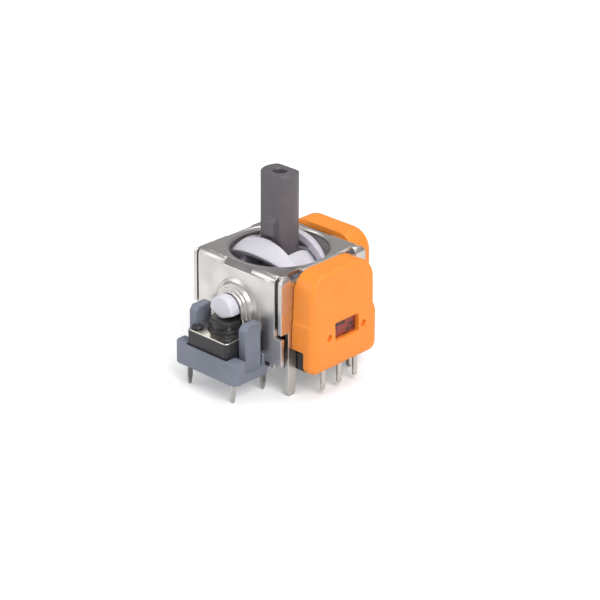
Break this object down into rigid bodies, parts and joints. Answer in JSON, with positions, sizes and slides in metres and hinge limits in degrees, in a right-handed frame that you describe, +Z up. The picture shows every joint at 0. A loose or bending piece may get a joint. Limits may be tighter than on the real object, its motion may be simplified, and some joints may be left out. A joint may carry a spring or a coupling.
{
  "type": "controller analog stick module",
  "caption": "Two-axis thumb stick module with magnetic angle sensors and a push switch, for soldering on a controller board.",
  "frame": {"origin": "on the stick's axis in the plane of the circuit board that the module sits on", "axes": "+Z up along the stick, +X towards one sensor housing, +Y towards the other one, -Y towards the push switch"},
  "size_m": [0.0162, 0.0211, 0.0225],
  "materials": {
    "steel": "tin-plated, satin",
    "lead_metal": "tin-plated, bright",
    "spring_steel": "drawn wire",
    "orange_plastic": "fine matte moulding",
    "white_plastic": "self-lubricating, slightly glossy",
    "dark_plastic": "satin moulding",
    "black_plastic": "satin moulding",
    "grey_plastic": "matte moulding",
    "red_board": "lacquered laminate",
    "magnet_metal": "nickel-plated"
  },
  "bodies": {
    "module_frame": {"metal_frame": "steel", "base_plate": "black_plastic", "return_spring": "spring_steel", "switch_bracket": "grey_plastic", "switch_body": "black_plastic", "switch_cover_plate": "lead_metal", "switch_dome": "spring_steel", "switch_terminals": "lead_metal", "x_sensor_housing": "orange_plastic", "x_sensor_board": "red_board", "x_hall_chip": "black_plastic", "x_sensor_pins": "lead_metal", "y_sensor_housing": "orange_plastic", "y_sensor_board": "red_board", "y_hall_chip": "black_plastic", "y_sensor_pins": "lead_metal"},
    "arch": {"upper_arch": "white_plastic", "x_magnet_holder": "dark_plastic", "x_magnet": "magnet_metal"},
    "y_rotor": {"y_magnet_holder": "dark_plastic", "y_magnet": "magnet_metal"},
    "cradle_shaft": {"lower_shaft": "white_plastic", "stick_pivot_pin": "lead_metal"},
    "thumb_stick": {"stick": "dark_plastic"},
    "seat": {"spring_seat": "black_plastic"},
    "button": {"switch_button": "black_plastic"}
  },
  "joints": [
    {"name": "y_tilt", "type": "hinge", "parent": "module_frame", "child": "y_rotor", "pos_m": [0, 0, 0.0065], "axis": [0, 1, 0], "range_deg": [-22, 22], "stiffness_Nm_per_rad": 0.02},
    {"name": "press", "type": "hinge", "parent": "y_rotor", "child": "cradle_shaft", "pos_m": [0, 0.00625, 0.0065], "axis": [1, 0, 0], "range_deg": [0, 1.17], "stiffness_Nm_per_rad": 1.5},
    {"name": "x_tilt", "type": "hinge", "parent": "cradle_shaft", "child": "thumb_stick", "pos_m": [0, 0, 0.0065], "axis": [1, 0, 0], "range_deg": [-22, 22], "stiffness_Nm_per_rad": 0.02},
    {"name": "arch_turn", "type": "hinge", "parent": "module_frame", "child": "arch", "pos_m": [0, 0, 0.0065], "axis": [1, 0, 0], "range_deg": [-22, 22]},
    {"name": "button_travel", "type": "slide", "parent": "module_frame", "child": "button", "axis": [0, 0, -1], "range_m": [0, 0.00031], "deforming": ["switch_dome"]},
    {"name": "seat_travel", "type": "slide", "parent": "module_frame", "child": "seat", "axis": [0, 0, -1], "range_m": [0, 0.00014], "deforming": ["return_spring"]}
  ],
  "couplings": [
    {"joint": "arch_turn", "follows": "x_tilt", "ratio": 1},
    {"joint": "button_travel", "follows": "press", "m_per_rad": 0.01475},
    {"joint": "seat_travel", "follows": "press", "m_per_rad": 0.00625}
  ]
}
